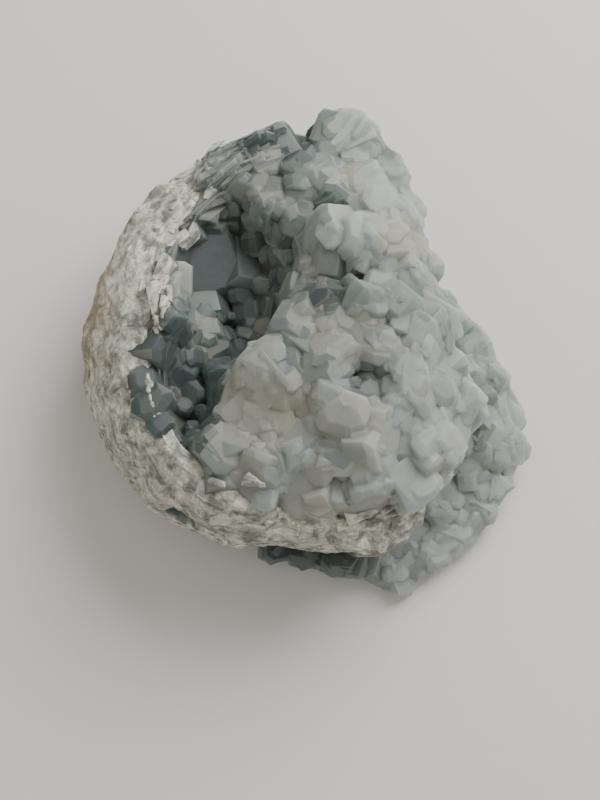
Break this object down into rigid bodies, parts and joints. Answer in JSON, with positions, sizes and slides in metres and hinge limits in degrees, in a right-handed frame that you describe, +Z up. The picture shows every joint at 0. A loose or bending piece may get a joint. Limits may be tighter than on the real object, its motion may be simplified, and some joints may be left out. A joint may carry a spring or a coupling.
{
  "type": "celestite crystal cluster",
  "caption": "Broken piece of a geode with blocky blue-grey celestite crystals round a dark pocket and a pale, weathered outer rind, cut flat to rest.",
  "frame": {"origin": "centre of the bounding box, on the flat cut base", "axes": "+Z up from the base, +X towards the crystal skirt, away from the rind, +Y towards the notch between the two tall rim crystals"},
  "size_m": [0.115, 0.117, 0.0625],
  "materials": {
    "matrix": "rough, weathered",
    "celestite": "translucent crystal faces"
  },
  "bodies": {
    "root": {"matrix_rind": "matrix", "crystal_crust": "celestite"}
  },
  "joints": []
}
